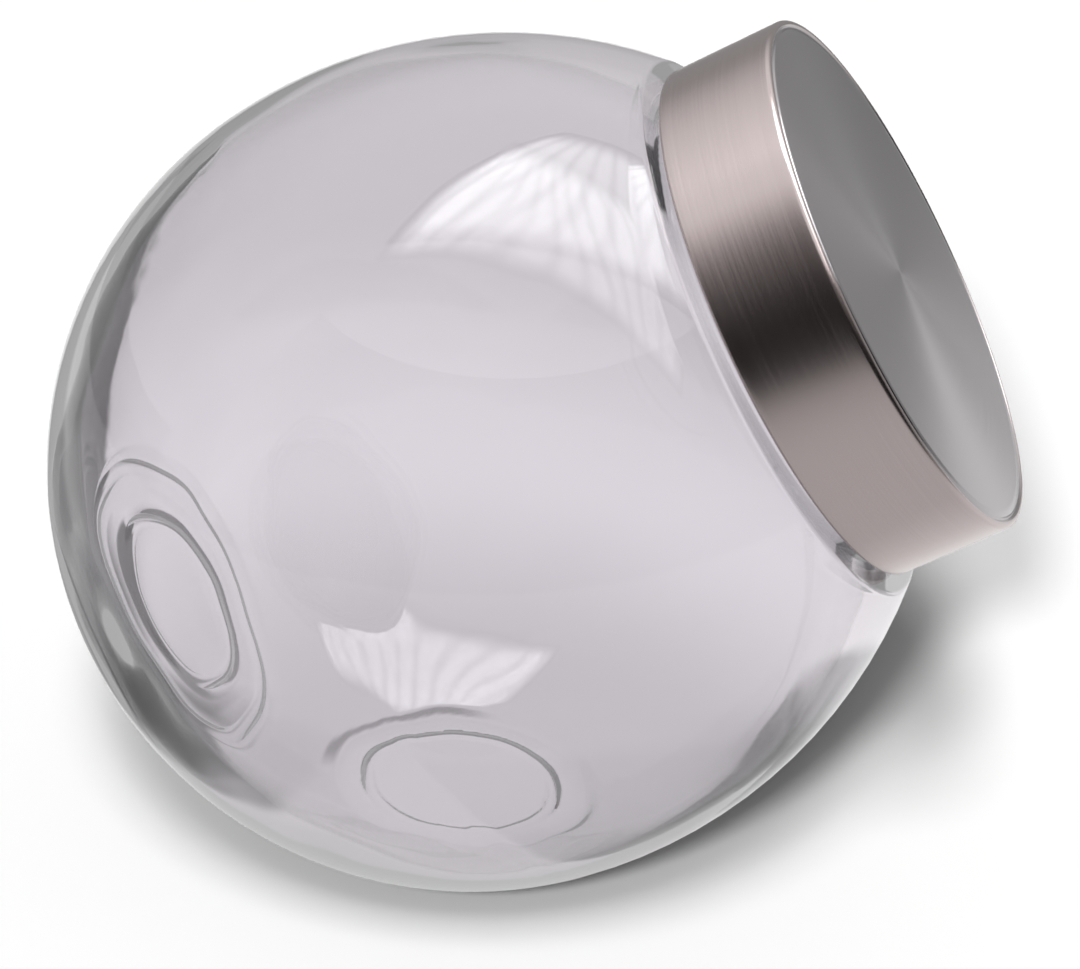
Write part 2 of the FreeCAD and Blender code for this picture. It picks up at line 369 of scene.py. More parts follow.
def add_thread(grid, points, turns, wall, height, start, foot, crest, lag=0.0):
    """Pushes a ridge out of a wall along a helix that climbs one pitch a turn: full height on
    the crest, sloping to nothing at the foot, and faded in over the first thread_fade of a
    turn and out over the last."""
    level = points[:, 0][:, None]
    wound = ((turns - lag) % (2 * np.pi) / (2 * np.pi))[None, :]
    ridge = np.zeros((len(points), len(turns)))
    for lap in range(math.ceil(thread_turns)):
        done = wound + lap
        off = np.abs(level - start - thread_pitch * done)
        slope = np.clip((foot / 2 - off) / (foot / 2 - crest / 2), 0, 1)
        fade = np.clip(done / thread_fade, 0, 1) * np.clip((thread_turns - done) / thread_fade, 0, 1)
        ridge = np.maximum(ridge, slope * fade)
    on_wall = np.abs(points[:, 1] - wall)[:, None, None] < 1e-6
    grid += np.where(on_wall, (ridge * height)[..., None] * spokes(turns), 0)


# %% Slow waves
wave_seed, wave_size, wave_shortest, wave_longest = 7, 0.10, 7, 26
# The waves stop this far below the collar, and fade away over as much again.
wave_margin = 6


def wave(grid, seed, size, shortest, longest, count=14):
    """A sum of plane waves with random directions and lengths, about size high in all."""
    rng = np.random.default_rng(seed)
    direction = rng.normal(size=(count, 3))
    direction /= np.linalg.norm(direction, axis=1)[:, None]
    length = rng.uniform(shortest, longest, count)
    phase = rng.uniform(0, 2 * np.pi, count)
    height = np.sin(grid @ (direction / length[:, None]).T * 2 * np.pi + phase) * (length / longest)
    return size * height.sum(-1) / math.sqrt(count)


# %% The jar's mesh
glass_grid = placed(glass_points, glass_turns)
outer, inner = glass_grid[:outer_rows], glass_grid[outer_rows:]
add_thread(outer, outer_points, glass_turns, neck_radius, thread_height,
           collar_height + thread_start, thread_foot, thread_crest)
press(outer, ball_centre, ball_radius, foot_depth, flat_round, foot_ring)
hollow_centre = ball_centre + hollow_ahead * mouth
hollow_foot = foot_depth - foot_wall + hollow_centre[2] - ball_centre[2]
press(inner, hollow_centre, hollow_radius, hollow_foot, hollow_round)
from_centre = inner - hollow_centre
outward = from_centre / np.linalg.norm(from_centre, axis=-1)[..., None]
in_ball = np.clip((collar_height - wave_margin - (inner - ball_centre) @ mouth) / wave_margin, 0, 1)
waves = wave(inner, wave_seed, wave_size, wave_shortest, wave_longest) * in_ball
inner += outward * waves[..., None]
glass_jar = turned_piece("glass_jar", glass_points, glass_turns, glass_grid)
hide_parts("jar_body")
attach(glass_jar, "jar")

# %% [markdown]
# ## Steel shell
# The lid that shows is one thin cup of stamped steel: a flat top with a rolled edge and a fine
# groove just inside it, a plain band, and a lower edge turned in under the insert. Its outline
# is drawn from the middle of the top's underside, round the hem, and back to the middle of the
# top. The groove is modelled, because it gives the thin dark line inside the bright edge.

# %% Sizes of the lid
seal_thickness, seal_play, insert_roof, insert_wall = 0.9, 0.05, 1.0, 1.45
shell_sheet, shell_fit, seal_fit, lid_gap, hem_reach = 0.4, 0.05, 0.3, 0.9, 1.0
thread_play = 0.25
edge_round, hem_round, edge_draw = 0.5, 0.35, 0.1
groove_depth, groove_width, rim_land = 0.22, 0.55, 0.1

roof_height = rim_height + seal_thickness + seal_play
shell_roof = roof_height + insert_roof
lid_top = shell_roof + shell_sheet - edge_draw
lid_bottom = collar_height + lid_gap
insert_bottom = lid_bottom + shell_sheet
insert_bore = neck_radius + thread_height + thread_play
insert_radius = insert_bore + insert_wall
shell_bore = insert_radius + shell_fit
lid_radius = shell_bore + shell_sheet - edge_draw
print("lid radius", round(lid_radius, 2), "from", round(lid_bottom, 2), "to", round(lid_top, 2))

# %% Shell
top_hub = np.array([lid_top - edge_round, lid_radius - edge_round])
low_hub = np.array([lid_bottom + hem_round, lid_radius - hem_round])
hem_radius = shell_bore - hem_reach
groove_from = top_hub[1] - rim_land
groove_part = np.linspace(0, 1, 13)
groove = np.stack([lid_top - groove_depth * np.sin(np.pi * groove_part),
                   groove_from - groove_width * groove_part], axis=1)
shell_points = outline(
    run([shell_roof, 0], [shell_roof, top_hub[1]], 12),
    bend(top_hub, [shell_roof, top_hub[1]], [top_hub[0], shell_bore], 6),
    run([top_hub[0], shell_bore], [insert_bottom, shell_bore], 6),
    run([insert_bottom, shell_bore], [insert_bottom, hem_radius], 4),
    run([insert_bottom, hem_radius], [lid_bottom, hem_radius], 4),
    run([lid_bottom, hem_radius], [lid_bottom, low_hub[1]], 4),
    bend(low_hub, [lid_bottom, low_hub[1]], [low_hub[0], lid_radius], 8),
    run([low_hub[0], lid_radius], [top_hub[0], lid_radius], 24),
    bend(top_hub, [top_hub[0], lid_radius], [lid_top, top_hub[1]], 12),
    run([lid_top, top_hub[1]], [lid_top, groove_from], 3),
    groove,
    run([lid_top, groove_from - groove_width], [lid_top, 0], 36))
steel_shell = turned_piece("steel_shell", shell_points, even_turns(256))
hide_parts("lid_shell")
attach(steel_shell, "lid")

# %% [markdown]
# ## Insert and seal
# Inside the shell sits a moulded cup that carries the lid's half of the thread, and under its
# roof a disc of soft liner. Both show when the lid is off. The cup's ridge is pushed inwards
# out of its bore by the same function that raises the glass's ridge, so the two halves match.

# %% Insert
insert_edge, insert_corner, insert_lip = 0.8, 0.4, 0.25
insert_points = outline(
    run([roof_height, 0], [roof_height, insert_bore - insert_corner], 12),
    bend([roof_height - insert_corner, insert_bore - insert_corner],
         [roof_height, insert_bore - insert_corner], [roof_height - insert_corner, insert_bore], 5),
    run([roof_height - insert_corner, insert_bore], [insert_bottom + insert_lip, insert_bore], 48),
    bend([insert_bottom + insert_lip, insert_bore + insert_lip],
         [insert_bottom + insert_lip, insert_bore], [insert_bottom, insert_bore + insert_lip], 4),
    run([insert_bottom, insert_bore + insert_lip], [insert_bottom, insert_radius], 4),
    run([insert_bottom, insert_radius], [shell_roof - insert_edge, insert_radius], 8),
    run([shell_roof - insert_edge, insert_radius], [shell_roof, insert_radius - insert_edge], 3),
    run([shell_roof, insert_radius - insert_edge], [shell_roof, 0], 10))
insert_turns = even_turns(200)
insert_grid = placed(insert_points, insert_turns)

# %% Thread of the insert
# Its ridge runs just under the glass's ridge, flank_play below it, and starts thread_lag of a
# turn further round. glass_half is half the glass ridge's width where the insert's crest passes.
insert_foot, insert_crest, flank_play, thread_lag = 1.6, 0.8, 0.3, 0.25
glass_half = thread_foot / 2 - (thread_foot - thread_crest) / (2 * thread_height) * thread_play
insert_start = (collar_height + thread_start - glass_half - insert_crest / 2 - flank_play
                + thread_pitch * thread_lag)
add_thread(insert_grid, insert_points, insert_turns, insert_bore, -thread_height,
           insert_start, insert_foot, insert_crest, lag=2 * np.pi * thread_lag)
moulded_insert = turned_piece("moulded_insert", insert_points, insert_turns, insert_grid)
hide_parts("lid_insert")
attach(moulded_insert, "lid")

# %% Seal
seal_radius = insert_bore - seal_fit
seal_edge = 0.25
seal_top = rim_height + seal_thickness
seal_points = outline(
    run([rim_height, 0], [rim_height, seal_radius - seal_edge], 16),
    bend([rim_height + seal_edge, seal_radius - seal_edge],
         [rim_height, seal_radius - seal_edge], [rim_height + seal_edge, seal_radius], 5),
    run([rim_height + seal_edge, seal_radius], [seal_top - seal_edge, seal_radius], 3),
    bend([seal_top - seal_edge, seal_radius - seal_edge],
         [seal_top - seal_edge, seal_radius], [seal_top, seal_radius - seal_edge], 5),
    run([seal_top, seal_radius - seal_edge], [seal_top, 0], 16))
soft_seal = turned_piece("soft_seal", seal_points, even_turns(128))
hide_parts("seal_disc")
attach(soft_seal, "seal")

# %% [markdown]
# ## Finishes
# A finish is a tree of nodes. Each helper below adds one node, sets it and hands back its
# outcome, so that a finish reads from top to bottom like a sum.

# %% Making and giving a material


def new_material(name):
    """A new material, its nodes, its links and its Principled shader."""
    material = bpy.data.materials.new(name)
    material.use_nodes = True
    nodes = material.node_tree.nodes
    return material, nodes, material.node_tree.links, nodes["Principled BSDF"]


def give(piece, material):
    """Makes this the piece's only material."""
    piece.data.materials.clear()
    piece.data.materials.append(material)
    print(piece.name, "has the material", material.name)


# %% Nodes for numbers


def noise_of(nodes, links, vector, scale, detail=2.0, w=None):
    """Soft noise at each point of a vector, and of w too where it is given."""
    noise = nodes.new("ShaderNodeTexNoise")
    noise.noise_dimensions = "4D" if w is not None else "3D"
    noise.inputs["Scale"].default_value = scale
    noise.inputs["Detail"].default_value = detail
    links.new(vector, noise.inputs["Vector"])
    if w is not None:
        links.new(w, noise.inputs["W"])
    return noise.outputs["Fac"]


def ranged(nodes, links, value, low, high, from_low=0.3, from_high=0.7):
    """Carries a value evenly from one range to another: from_low gives low, from_high high."""
    spread = nodes.new("ShaderNodeMapRange")
    numbers = {"From Min": from_low, "From Max": from_high, "To Min": low, "To Max": high}
    for socket, number in numbers.items():
        spread.inputs[socket].default_value = number
    links.new(value, spread.inputs["Value"])
    return spread.outputs["Result"]


def math_of(nodes, links, operation, first, second):
    """One Math node. A number becomes the socket's own value, anything else is linked."""
    node = nodes.new("ShaderNodeMath")
    node.operation = operation
    for socket, value in zip(node.inputs, (first, second)):
        if isinstance(value, (int, float)):
            socket.default_value = value
        else:
            links.new(value, socket)
    return node.outputs[0]


# %% Nodes for colours, bumps and shaders


def blended(nodes, links, factor, first, second):
    """A colour between two others. Each of them is three numbers or a socket."""
    mix = nodes.new("ShaderNodeMix")
    mix.data_type = "RGBA"
    links.new(factor, mix.inputs["Factor"])
    for socket, colour in zip((mix.inputs["A"], mix.inputs["B"]), (first, second)):
        if isinstance(colour, tuple):
            socket.default_value = (*colour, 1)
        else:
            links.new(colour, socket)
    return mix.outputs["Result"]


def bumped(nodes, links, height, strength, distance):
    """The normal of a surface that a height from 0 to 1 would lift by up to the distance."""
    bump = nodes.new("ShaderNodeBump")
    bump.inputs["Strength"].default_value = strength
    bump.inputs["Distance"].default_value = distance
    links.new(height, bump.inputs["Height"])
    return bump.outputs["Normal"]


def mixed(nodes, links, factor, first, second):
    """The first shader where the factor is 0, and the second where it is 1."""
    mix = nodes.new("ShaderNodeMixShader")
    links.new(factor, mix.inputs["Fac"])
    links.new(first, mix.inputs[1])
    links.new(second, mix.inputs[2])
    return mix.outputs["Shader"]


# %% [markdown]
# ## Clear glass
# Both surfaces of the wall are in the mesh, so a fully transmitting shader with the real index
# bends light as the real wall does, and a faint bump adds the unevenness of blown glass. Two
# kinds of ray pass straight through instead. Light between a lamp and the floor would need
# thousands of samples to find its way through a bending wall, so it is only dimmed. And light
# that has bounced about in a thick place would end in black, so it goes on unbent.

# %% Clear glass
glass_colour, glass_index = (0.93, 0.92, 0.94), 1.5
uneven_scale, uneven_strength, uneven_height = 90.0, 0.12, 0.0006
trapped_after, trapped_tint, lamp_tint = 5.5, 0.9, 0.42

glass, nodes, links, shader = new_material("clear_glass")
shader.inputs["Base Color"].default_value = (*glass_colour, 1)
shader.inputs["Transmission Weight"].default_value = 1.0
shader.inputs["Roughness"].default_value = 0.0
shader.inputs["IOR"].default_value = glass_index
where = nodes.new("ShaderNodeTexCoord").outputs["Object"]
uneven = noise_of(nodes, links, where, uneven_scale, 1.0)
links.new(bumped(nodes, links, uneven, uneven_strength, uneven_height), shader.inputs["Normal"])

ray = nodes.new("ShaderNodeLightPath")
trapped = math_of(nodes, links, "GREATER_THAN", ray.outputs["Ray Depth"], trapped_after)
lamp_ray = math_of(nodes, links, "MAXIMUM", ray.outputs["Is Shadow Ray"], ray.outputs["Is Diffuse Ray"])
finish = shader.outputs["BSDF"]
for chosen, tint in ((trapped, trapped_tint), (lamp_ray, lamp_tint)):
    passing = nodes.new("ShaderNodeBsdfTransparent")
    passing.inputs["Color"].default_value = (tint, tint, tint, 1)
    finish = mixed(nodes, links, chosen, finish, passing.outputs["BSDF"])
links.new(finish, nodes["Material Output"].inputs["Surface"])
give(glass_jar, glass)

# %% [markdown]
# ## Brushed steel
# The band is brushed along its length and the top is spun, so on both the scratches run round
# the mouth axis. They are finer than a pixel, so they are not modelled one by one. An
# anisotropic metal spreads its highlights across them, with its tangent from the UV map, which
# also runs round the axis. A noise that changes quickly along the outline and slowly round the
# axis gives the streaks that can still be seen. The top's steel has painted shade: a darker,
# cooler colour that stands in for its dimmer reflection.

# %% Brushed steel
band_tones = (0.575, 0.498, 0.488), (0.610, 0.529, 0.518)
# Painted shade: the top gets a darker, cooler copy of the band's steel colour.
shaded_top_tones = (0.47, 0.448, 0.46), (0.50, 0.476, 0.49)
round_scale, streak_scale, streak_detail = 4.0, 9.0, 3.0
streak_strength, streak_height = 0.012, 0.00003
tone_step = 0.3
shell_length = np.linalg.norm(np.diff(shell_points, axis=0), axis=1).sum()
disc_starts = shell_length - top_hub[1]

steel, nodes, links, shader = new_material("brushed_steel")
shader.inputs["Metallic"].default_value = 1.0
shader.inputs["Anisotropic"].default_value = 0.85
shader.inputs["Anisotropic Rotation"].default_value = 0.25
tangent = nodes.new("ShaderNodeTangent")
tangent.direction_type = "UV_MAP"
tangent.uv_map = "turned"
links.new(tangent.outputs["Tangent"], shader.inputs["Tangent"])
place = nodes.new("ShaderNodeTexCoord")
along = nodes.new("ShaderNodeSeparateXYZ")
links.new(place.outputs["UV"], along.inputs["Vector"])
slow = nodes.new("ShaderNodeMapping")
slow.inputs["Scale"].default_value = (round_scale, round_scale, round_scale)
links.new(place.outputs["Object"], slow.inputs["Vector"])
brush = noise_of(nodes, links, slow.outputs["Vector"], streak_scale, streak_detail, along.outputs["Y"])
strokes = ranged(nodes, links, brush, 0.0, 1.0)
band_tone = blended(nodes, links, strokes, *band_tones)
shaded_top_tone = blended(nodes, links, strokes, *shaded_top_tones)
on_disc = ranged(nodes, links, along.outputs["Y"], 0.0, 1.0,
                 disc_starts - tone_step, disc_starts + tone_step)
links.new(blended(nodes, links, on_disc, band_tone, shaded_top_tone), shader.inputs["Base Color"])
links.new(ranged(nodes, links, brush, 0.22, 0.27), shader.inputs["Roughness"])
links.new(bumped(nodes, links, brush, streak_strength, streak_height), shader.inputs["Normal"])
give(steel_shell, steel)

# %% [markdown]
# ## Moulded plastic and foamed liner
# Neither shows while the lid is on. The insert is a satin moulding with the fine grain of a
# spark-eroded mould, and the liner is a matt foam with small pores. Both are one colour, so a
# small noise in roughness and bump is all that sets them apart from flat paint.

# %% Both finishes


def grained(name, colour, gloss, scale, detail, rough, strength, height):
    """A plain colour with fine noise in its roughness, from rough[0] to rough[1], and its bump."""
    finish, nodes, links, shader = new_material(name)
    where = nodes.new("ShaderNodeTexCoord").outputs["Object"]
    grain = noise_of(nodes, links, where, scale, detail)
    shader.inputs["Base Color"].default_value = (*colour, 1)
    shader.inputs["Specular IOR Level"].default_value = gloss
    links.new(ranged(nodes, links, grain, *rough), shader.inputs["Roughness"])
    links.new(bumped(nodes, links, grain, strength, height), shader.inputs["Normal"])
    return finish


give(moulded_insert, grained("insert_plastic", colour=(0.86, 0.86, 0.84), gloss=0.45, scale=1500.0,
                             detail=3.0, rough=(0.32, 0.48), strength=0.2, height=0.00004))
give(soft_seal, grained("seal_foam", colour=(0.93, 0.93, 0.91), gloss=0.2, scale=2600.0,
                        detail=2.0, rough=(0.6, 0.85), strength=0.4, height=0.00006))

# %% [markdown]
# ## Camera
# A long lens from the side, a little above, turned slightly clockwise, as the photograph was
# taken. It aims a little to the right of the ball's centre.

# %% Camera
azimuth, elevation, roll = math.radians(5.9), math.radians(26.9), math.radians(3.574)
camera_distance = 10 * ball_radius
aim_offset = np.array([6.857, 0.0, -1.136])
film_width, lens_length = 36.0, 140.83
clip_near, clip_far = 0.01, 20.0


def toward(azimuth, elevation):
    """The direction at an angle round to the right of the front, and an angle above the level."""
    level = math.cos(elevation)
    return np.array([math.sin(azimuth) * level, -math.cos(azimuth) * level, math.sin(elevation)])


camera_place = Vector((ball_centre + toward(azimuth, elevation) * camera_distance) * MM)
camera_aim = Vector((ball_centre + aim_offset) * MM)
upright = (camera_place - camera_aim).to_track_quat("Z", "Y")
camera = bpy.data.objects.new("camera", bpy.data.cameras.new("camera"))
camera.data.sensor_width, camera.data.lens = film_width, lens_length
camera.data.clip_start, camera.data.clip_end = clip_near, clip_far
camera.rotation_mode = "QUATERNION"
camera.location = camera_place
camera.rotation_quaternion = upright @ Quaternion((0, 0, 1), roll)
bpy.context.scene.collection.objects.link(camera)
bpy.context.scene.camera = camera
print("camera at", [round(v, 4) for v in camera_place])

# %% [markdown]
# ## Surround
# On pure white, clear glass and polished metal show nothing but what they bend and mirror. So
# the world is not one backdrop but four, chosen by the kind of ray. The camera sees white.
# What is seen through the glass is a little darker and cooler, which gives the clear glass its
# body. What is mirrored is a room that is dim low down and bright overhead. Matt surfaces get
# a weak even light. Light that has bounced about in the glass finds a middle grey, so that no
# corner of the glass lights up or turns black.

# %% Light that has bounced about
deep_after, deep_tone = 3.5, 0.5


def for_deep_rays(nodes, links, usual, deep, bounces=deep_after):
    """The usual strength, or the deep one, a number or a socket, past so many bounces."""
    ray = nodes.new("ShaderNodeLightPath")
    is_deep = math_of(nodes, links, "GREATER_THAN", ray.outputs["Ray Depth"], bounces)
    choice = nodes.new("ShaderNodeMix")
    links.new(is_deep, choice.inputs["Factor"])
    links.new(usual, choice.inputs["A"])
    if isinstance(deep, float):
        choice.inputs["B"].default_value = deep
    else:
        links.new(deep, choice.inputs["B"])
    return choice.outputs["Result"]


# %% The world
bpy.context.scene.view_settings.view_transform = "Standard"
dome_light = 0.15
room_low, room_high, room_from, room_to = 0.42, 1.3, math.radians(15), math.radians(43)
glass_tone, far_tone = (0.873, 0.842, 0.868), 0.74

world = bpy.data.worlds.new("surround")
bpy.context.scene.world = world
world.use_nodes = True
nodes, links = world.node_tree.nodes, world.node_tree.links
ray = nodes.new("ShaderNodeLightPath")
direction = nodes.new("ShaderNodeTexCoord")
climb = nodes.new("ShaderNodeSeparateXYZ")
links.new(direction.outputs["Generated"], climb.inputs["Vector"])
room = nodes.new("ShaderNodeBackground")
room_level = ranged(nodes, links, climb.outputs["Z"], room_low, room_high,
                    math.sin(room_from), math.sin(room_to))
links.new(for_deep_rays(nodes, links, room_level, deep_tone), room.inputs["Strength"])
dome = nodes["Background"]
dome.inputs["Color"].default_value = (1, 1, 1, 1)
dome.inputs["Strength"].default_value = dome_light
through = nodes.new("ShaderNodeBackground")
through.inputs["Color"].default_value = (*glass_tone, 1)
through.inputs["Strength"].default_value = far_tone
plain_white = nodes.new("ShaderNodeBackground")
plain_white.inputs["Color"].default_value = (1, 1, 1, 1)
surround = mixed(nodes, links, ray.outputs["Is Glossy Ray"], dome.outputs[0], room.outputs[0])
surround = mixed(nodes, links, ray.outputs["Is Transmission Ray"], surround, through.outputs[0])
surround = mixed(nodes, links, ray.outputs["Is Camera Ray"], surround, plain_white.outputs[0])
links.new(surround, nodes["World Output"].inputs["Surface"])
print("room level from", room_low, "to", room_high, "and through the glass", far_tone)

# %% [markdown]
# ## Floor and cards
# The floor that the camera sees is plain matt paper in the lamps' light, so it carries the
# jar's shadow. Glass and steel see two glowing sheets in its place, and the cards overhead and
# in front glow too. Lit cards would need lamps of their own, which would also light the paper.
# How bright a sheet glows is worked out at each of its points and kept with the mesh.

# %% Soft edges


def eased(value, start, end):
    """From 0 at start to 1 at end, with soft ends: part^2 * (3 - 2 * part)."""
    part = np.clip((value - start) / (end - start), 0, 1)
    return part * part * (3 - 2 * part)


def fading(value, start, end):
    """From 1 at start to 0 at end, with soft ends."""
    return 1 - eased(value, start, end)


# %% A stage sheet


def seen_by(thing, *rays):
    """Leaves a thing visible to these kinds of ray only."""
    for kind in ("camera", "diffuse", "glossy", "transmission", "shadow", "volume_scatter"):
        setattr(thing, "visible_" + kind, kind in rays)


def sheet_of(name, vertices):
    """A stage object from a grid of points."""
    rows, columns = vertices.shape[:2]
    row, column = np.meshgrid(np.arange(rows - 1), np.arange(columns - 1), indexing="ij")
    corner = row * columns + column
    quads = np.stack([corner, corner + 1, corner + columns + 1, corner + columns], -1).reshape(-1, 4)
    mesh = bpy.data.meshes.new(name)
    mesh.from_pydata(vertices.reshape(-1, 3), [], quads.tolist())
    thing = bpy.data.objects.new(name, mesh)
    bpy.context.scene.collection.objects.link(thing)
    return thing


def keep_with_mesh(thing, nodes, name, values):
    """Stores one number for each point of the mesh, and gives the socket that reads it."""
    stored = thing.data.attributes.new(name, "FLOAT", "POINT")
    stored.data.foreach_set("value", values.astype(np.float32).reshape(-1))
    kept = nodes.new("ShaderNodeAttribute")
    kept.attribute_name = name
    return kept.outputs["Fac"]


# %% A glowing sheet
inside_after, inside_gain = 4.5, 0.5


def glowing_sheet(name, vertices, colour, glow, *rays, through_wall=None):
    """A stage sheet that glows. The values of through_wall are for light that has only passed
    through a wall's edge, and not through the whole jar. A sheet that is both mirrored and
    seen through glass glows more, by inside_gain, for light that has been mirrored inside."""
    thing = sheet_of(name, vertices)
    finish, nodes, links, shader = new_material(name)
    nodes.remove(shader)
    light = nodes.new("ShaderNodeEmission")
    light.inputs["Color"].default_value = (*colour, 1)
    strength = keep_with_mesh(thing, nodes, "glow", glow)
    if through_wall is not None:
        first = keep_with_mesh(thing, nodes, "wall_glow", through_wall)
        strength = for_deep_rays(nodes, links, first, strength)
    if "glossy" in rays and "transmission" in rays:
        ray = nodes.new("ShaderNodeLightPath")
        inside = math_of(nodes, links, "GREATER_THAN", ray.outputs["Ray Depth"], inside_after)
        gain = math_of(nodes, links, "MULTIPLY", inside, inside_gain)
        strength = math_of(nodes, links, "MULTIPLY", strength, math_of(nodes, links, "ADD", gain, 1.0))
    in_glass_too = "transmission" in rays
    bounces, deep = (trapped_after, deep_tone / 2) if in_glass_too else (deep_after, deep_tone)
    links.new(for_deep_rays(nodes, links, strength, deep, bounces), light.inputs["Strength"])
    links.new(light.outputs["Emission"], nodes["Material Output"].inputs["Surface"])
    give(thing, finish)
    seen_by(thing, *rays)
    print(name, "glows from", glow.min().round(3), "to", glow.max().round(3))
    return thing


# %% Paper floor
floor_half = 3.0
floor_corners = np.array([[(-floor_half, -floor_half, 0), (floor_half, -floor_half, 0)],
                          [(-floor_half, floor_half, 0), (floor_half, floor_half, 0)]])
floor = sheet_of("floor", floor_corners)
paper, nodes, links, shader = new_material("floor_paper")
shader.inputs["Base Color"].default_value = (1.0, 1.0, 1.0, 1)
shader.inputs["Roughness"].default_value = 1.0
shader.inputs["Specular IOR Level"].default_value = 0.0
give(floor, paper)
seen_by(floor, "camera", "diffuse", "shadow")

# %% [markdown]
# ## The floor that the glass sees
# The ball squeezes its view of the whole floor into itself, so each darker place on this floor
# shows as a shape in the glass, bent along its walls. Shade under the jar is painted on this
# floor, a touch darker. A long dark strip lies at the left, and its image is the dark left edge
# that makes a clear jar stand out from white. A few small painted shadows close to the jar give
# the finer dark lines along its lower walls, at the foot and under the lid. They lie close to the
# jar, so that they show little from other sides. The strip does show from behind, low in the glass.
# Places are in metres here, and a soft edge is a pair: where it starts and where it ends.

# %% A disc of points, finest under the jar
fine_to, coarse_to, fine_step, coarse_step = 0.05, 0.36, 0.0005, 0.003
rings = np.concatenate([np.arange(0, fine_to, fine_step), np.arange(fine_to, coarse_to, coarse_step),
                        np.geomspace(coarse_to, floor_half, 20)])
sectors = np.linspace(-np.pi, np.pi, 217)
disc_x, disc_y = np.outer(rings, np.sin(sectors)), np.outer(rings, np.cos(sectors))
under_paper = -0.00005
disc = np.stack([disc_x, disc_y, np.full_like(disc_x, under_paper)], -1)
away = np.hypot(disc_x, disc_y)
right_of_foot = disc_x - ball_centre[0] * MM
from_foot = np.hypot(right_of_foot, disc_y)
print("disc of", disc_x.size, "points")

# %% Painted shade under the jar, and tones beside and behind it
shaded_foot_tone, shaded_jar_tone, beside_tone, behind_tone = 0.78, 0.70, 1.0, 0.755
foot_rim, jar_rim, room_rim = (0.010, 0.016), (0.025, 0.080), (0.080, 0.17)
# Painted shade: darker under the foot and under the jar than beside it. The floor is also darker far off.
in_glass = shaded_foot_tone + (shaded_jar_tone - shaded_foot_tone) * eased(from_foot, *foot_rim)
in_glass += (beside_tone - shaded_jar_tone) * eased(away, *jar_rim)
in_glass += (behind_tone - beside_tone) * eased(away, *room_rim)

# %% The dark strip at the left
strip_at, strip_lean, strip_dark, strip_darker = 0.0507, 0.42, 0.82, 0.11
strip_edge, strip_near, strip_far, darker_from = (-0.002, 0.003), (-0.03, -0.01), (0.6, 0.9), (0.055, 0.07)
jog_width, jog_ends, narrow_edge = 0.007, (0.055, 0.065), (0.045, 0.065)
jog = jog_width * fading(disc_y, *jog_ends)
past_edge = jog - strip_at - strip_lean * disc_y - disc_x
strip = eased(past_edge, *strip_edge) * (strip_dark + strip_darker * eased(disc_y, *darker_from))
strip *= eased(disc_y, *strip_near) * fading(disc_y, *strip_far)
narrow_strip = strip * fading(past_edge, *narrow_edge)

# %% Painted shadows close to the jar
jar_reach = (0.052, 0.060)
near_jar = fading(from_foot, *jar_reach)
# Painted shadow right of a slanting line, for the lower right wall.
right_dark, right_at, right_lean = 0.78, 0.0220, 0.583
right_edge, right_far = (-0.0005, 0.0010), (0.024, 0.032)
past_line = disc_x - right_at - right_lean * disc_y
right_shade = right_dark * eased(past_line, *right_edge) * fading(disc_y, *right_far) * near_jar
# Painted shadow left of the foot, for the lower left wall.
left_dark, left_round, left_edge, left_far = 0.7, (0.029, 0.032), (0.025, 0.029), (0.006, 0.014)
left_shade = left_dark * eased(from_foot, *left_round) * eased(-disc_x, *left_edge)
left_shade *= fading(disc_y, *left_far) * near_jar
# A painted shadow in an arc just outside the foot's ring, at its far left.
foot_dark, foot_line, foot_edge, foot_sector = 0.5, 0.0157, (-0.0011, -0.0006), (0.85, 1.15)
toward_far_left = (disc_y - right_of_foot) / np.maximum(from_foot, MM)
foot_shade = foot_dark * eased(-np.abs(from_foot - foot_line), *foot_edge)
foot_shade *= eased(toward_far_left, *foot_sector)
# A painted shadow in an oval under the lid.
lid_dark, lid_x, lid_y, lid_stretch, lid_edge = 0.5, 0.042, -0.005, 0.6, (0.010, 0.024)
lid_shade = lid_dark * fading(np.hypot(disc_x - lid_x, lid_stretch * (disc_y - lid_y)), *lid_edge)
# Painted shadow right of the jar, for light that has only passed through a wall's edge.
wall_dark, wall_edge, wall_reach = 0.6, (0.035, 0.039), (0.075, 0.085)
wall_near, wall_far = (0.0, 0.004), (0.045, 0.055)
wall_shade = wall_dark * eased(disc_x, *wall_edge) * fading(disc_y, *wall_far)
wall_shade *= eased(disc_y, *wall_near) * fading(from_foot, *wall_reach)

# %% The floor in the glass
for shade in (right_shade, left_shade, foot_shade, lid_shade):
    in_glass *= 1 - shade
glowing_sheet("floor_in_glass", disc, glass_tone, in_glass * (1 - narrow_strip), "transmission",
              through_wall=in_glass * (1 - strip) * (1 - wall_shade))

# %% [markdown]
# ## The floor that the steel sees
# The lower half of the lid's band mirrors this floor: a small pale table, with a dark room in
# front of it and a greyer one behind. Under the bright room overhead, the band so runs from
# bright to nearly black and back. The dark strip is here too, only fainter, because the glass
# also mirrors this floor.

# %% The floor in the steel
table_radius, table_soft, table_edge, table_middle, table_behind = 0.35, 0.05, 0.43, 0.60, 0.30
middle_edge, behind_slope = (0.10, 0.30), 1.2
front_dark, back_grey, strip_share = 0.02, 0.30, 0.7
behind = np.clip(0.5 + behind_slope * disc_y / np.maximum(away, MM), 0, 1)
table = table_edge + (table_middle - table_edge) * fading(away, *middle_edge) + table_behind * behind
room_tone = front_dark + (back_grey - front_dark) * behind
past_table = eased(away, table_radius * (1 - table_soft), table_radius * (1 + table_soft))
in_steel = table * (1 - past_table) + room_tone * past_table
in_steel *= 1 - strip_share * narrow_strip
glowing_sheet("floor_in_steel", disc, (1, 1, 1), in_steel, "glossy")

# %% [markdown]
# ## Lamps
# Three soft lamps stand one above the other, on the camera's side and higher than it is. The
# low one lays the shadow close round the lower edge, and the two high ones darken it under the
# ball. A single large lamp could do both, but three small ones can be set one by one.

# %% Lamps


